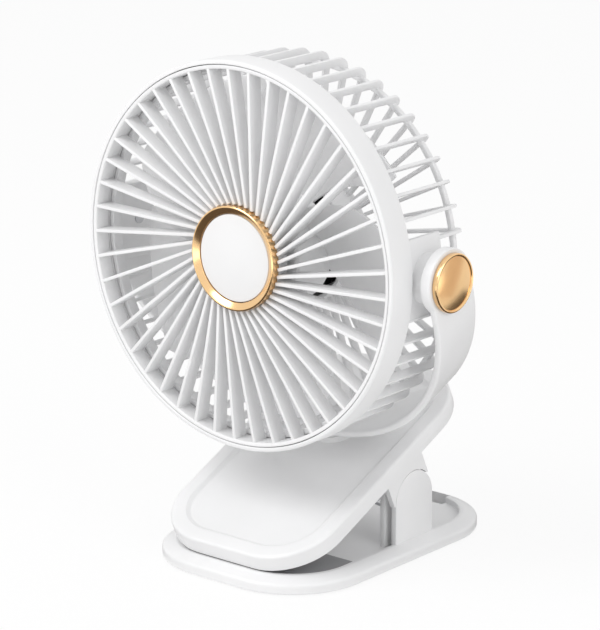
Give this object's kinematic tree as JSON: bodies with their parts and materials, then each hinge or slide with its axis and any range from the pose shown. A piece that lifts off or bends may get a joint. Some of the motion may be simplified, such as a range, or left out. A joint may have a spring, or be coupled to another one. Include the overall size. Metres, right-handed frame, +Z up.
{
  "type": "clip fan",
  "caption": "Small caged fan in a C-shaped yoke that turns on a sprung clip, with slanted grille ribs and gold-coloured hub ring and pivot caps.",
  "frame": {"origin": "on the standing surface, at the middle of the anti-slip pad under the clip's base", "axes": "+Z up, -Y to the front where the air leaves, +X to the right as seen from the front"},
  "size_m": [0.1694, 0.1272, 0.198],
  "materials": {
    "white_plastic": "satin moulded white plastic",
    "blade_plastic": "white moulded plastic",
    "badge_plastic": "smooth off-white plastic",
    "gold_metal": "polished gold-coloured metal",
    "grey_rubber": "matt grey silicone rubber",
    "dark_rubber": "matt black rubber",
    "steel": "zinc-plated steel",
    "dark_metal": "dark motor can",
    "circuit_board": "green circuit board",
    "battery_wrap": "blue shrink wrap",
    "lens_plastic": "translucent pale plastic"
  },
  "bodies": {
    "lower_jaw": {"lower_shell": "white_plastic", "bottom_cover": "white_plastic", "foot_pad": "dark_rubber", "grip_pad_lower": "grey_rubber", "cover_screw_1": "steel", "cover_screw_2": "steel", "cover_screw_3": "steel", "cover_screw_4": "steel", "hinge_pin": "steel", "torsion_spring_right": "steel", "torsion_spring_left": "steel"},
    "upper_jaw": {"upper_shell": "white_plastic", "under_cover": "white_plastic", "grip_pad_upper": "grey_rubber", "battery": "battery_wrap", "circuit_board": "circuit_board", "charging_socket": "steel", "indicator_lens": "lens_plastic", "turntable_washer": "steel", "jaw_screw_1": "steel", "jaw_screw_2": "steel", "jaw_screw_3": "steel", "jaw_screw_4": "steel"},
    "button": {"power_button": "badge_plastic"},
    "yoke": {"yoke": "white_plastic", "turntable_screw": "steel", "pivot_cap_right": "gold_metal", "pivot_cap_left": "gold_metal", "pivot_washer_right": "dark_rubber", "pivot_washer_left": "dark_rubber"},
    "head": {"front_bezel": "white_plastic", "front_grille": "white_plastic", "hub_ring": "gold_metal", "hub_badge": "badge_plastic", "rear_cage": "white_plastic", "motor": "dark_metal", "motor_screw_1": "steel", "motor_screw_2": "steel", "motor_screw_3": "steel", "pivot_screw_right": "steel", "pivot_screw_left": "steel"},
    "impeller": {"impeller": "blade_plastic", "motor_shaft": "steel"}
  },
  "joints": [
    {"name": "jaw_hinge", "type": "hinge", "parent": "lower_jaw", "child": "upper_jaw", "pos_m": [0, 0.0098, 0.0225], "axis": [-1, 0, 0], "range_deg": [0, 35], "stiffness_Nm_per_rad": 0.6, "springref_deg": -85.94, "deforming": ["torsion_spring_right", "torsion_spring_left"]},
    {"name": "button_press", "type": "slide", "parent": "upper_jaw", "child": "button", "axis": [0, 0.421, -0.9071], "range_m": [0, 0.0006], "stiffness_N_per_m": 800, "springref_m": -0.0005},
    {"name": "yoke_turn", "type": "hinge", "parent": "upper_jaw", "child": "yoke", "pos_m": [0, 0.00965, 0.04432], "axis": [0, -0.421, 0.9071], "range_deg": [-170, 170]},
    {"name": "head_tilt", "type": "hinge", "parent": "yoke", "child": "head", "pos_m": [0, -0.02731, 0.12395], "axis": [1, 0, 0], "range_deg": [-90, 90]},
    {"name": "impeller_spin", "type": "hinge", "parent": "head", "child": "impeller", "pos_m": [0, -0.02731, 0.12395], "axis": [0, 1, 0], "continuous": true}
  ]
}
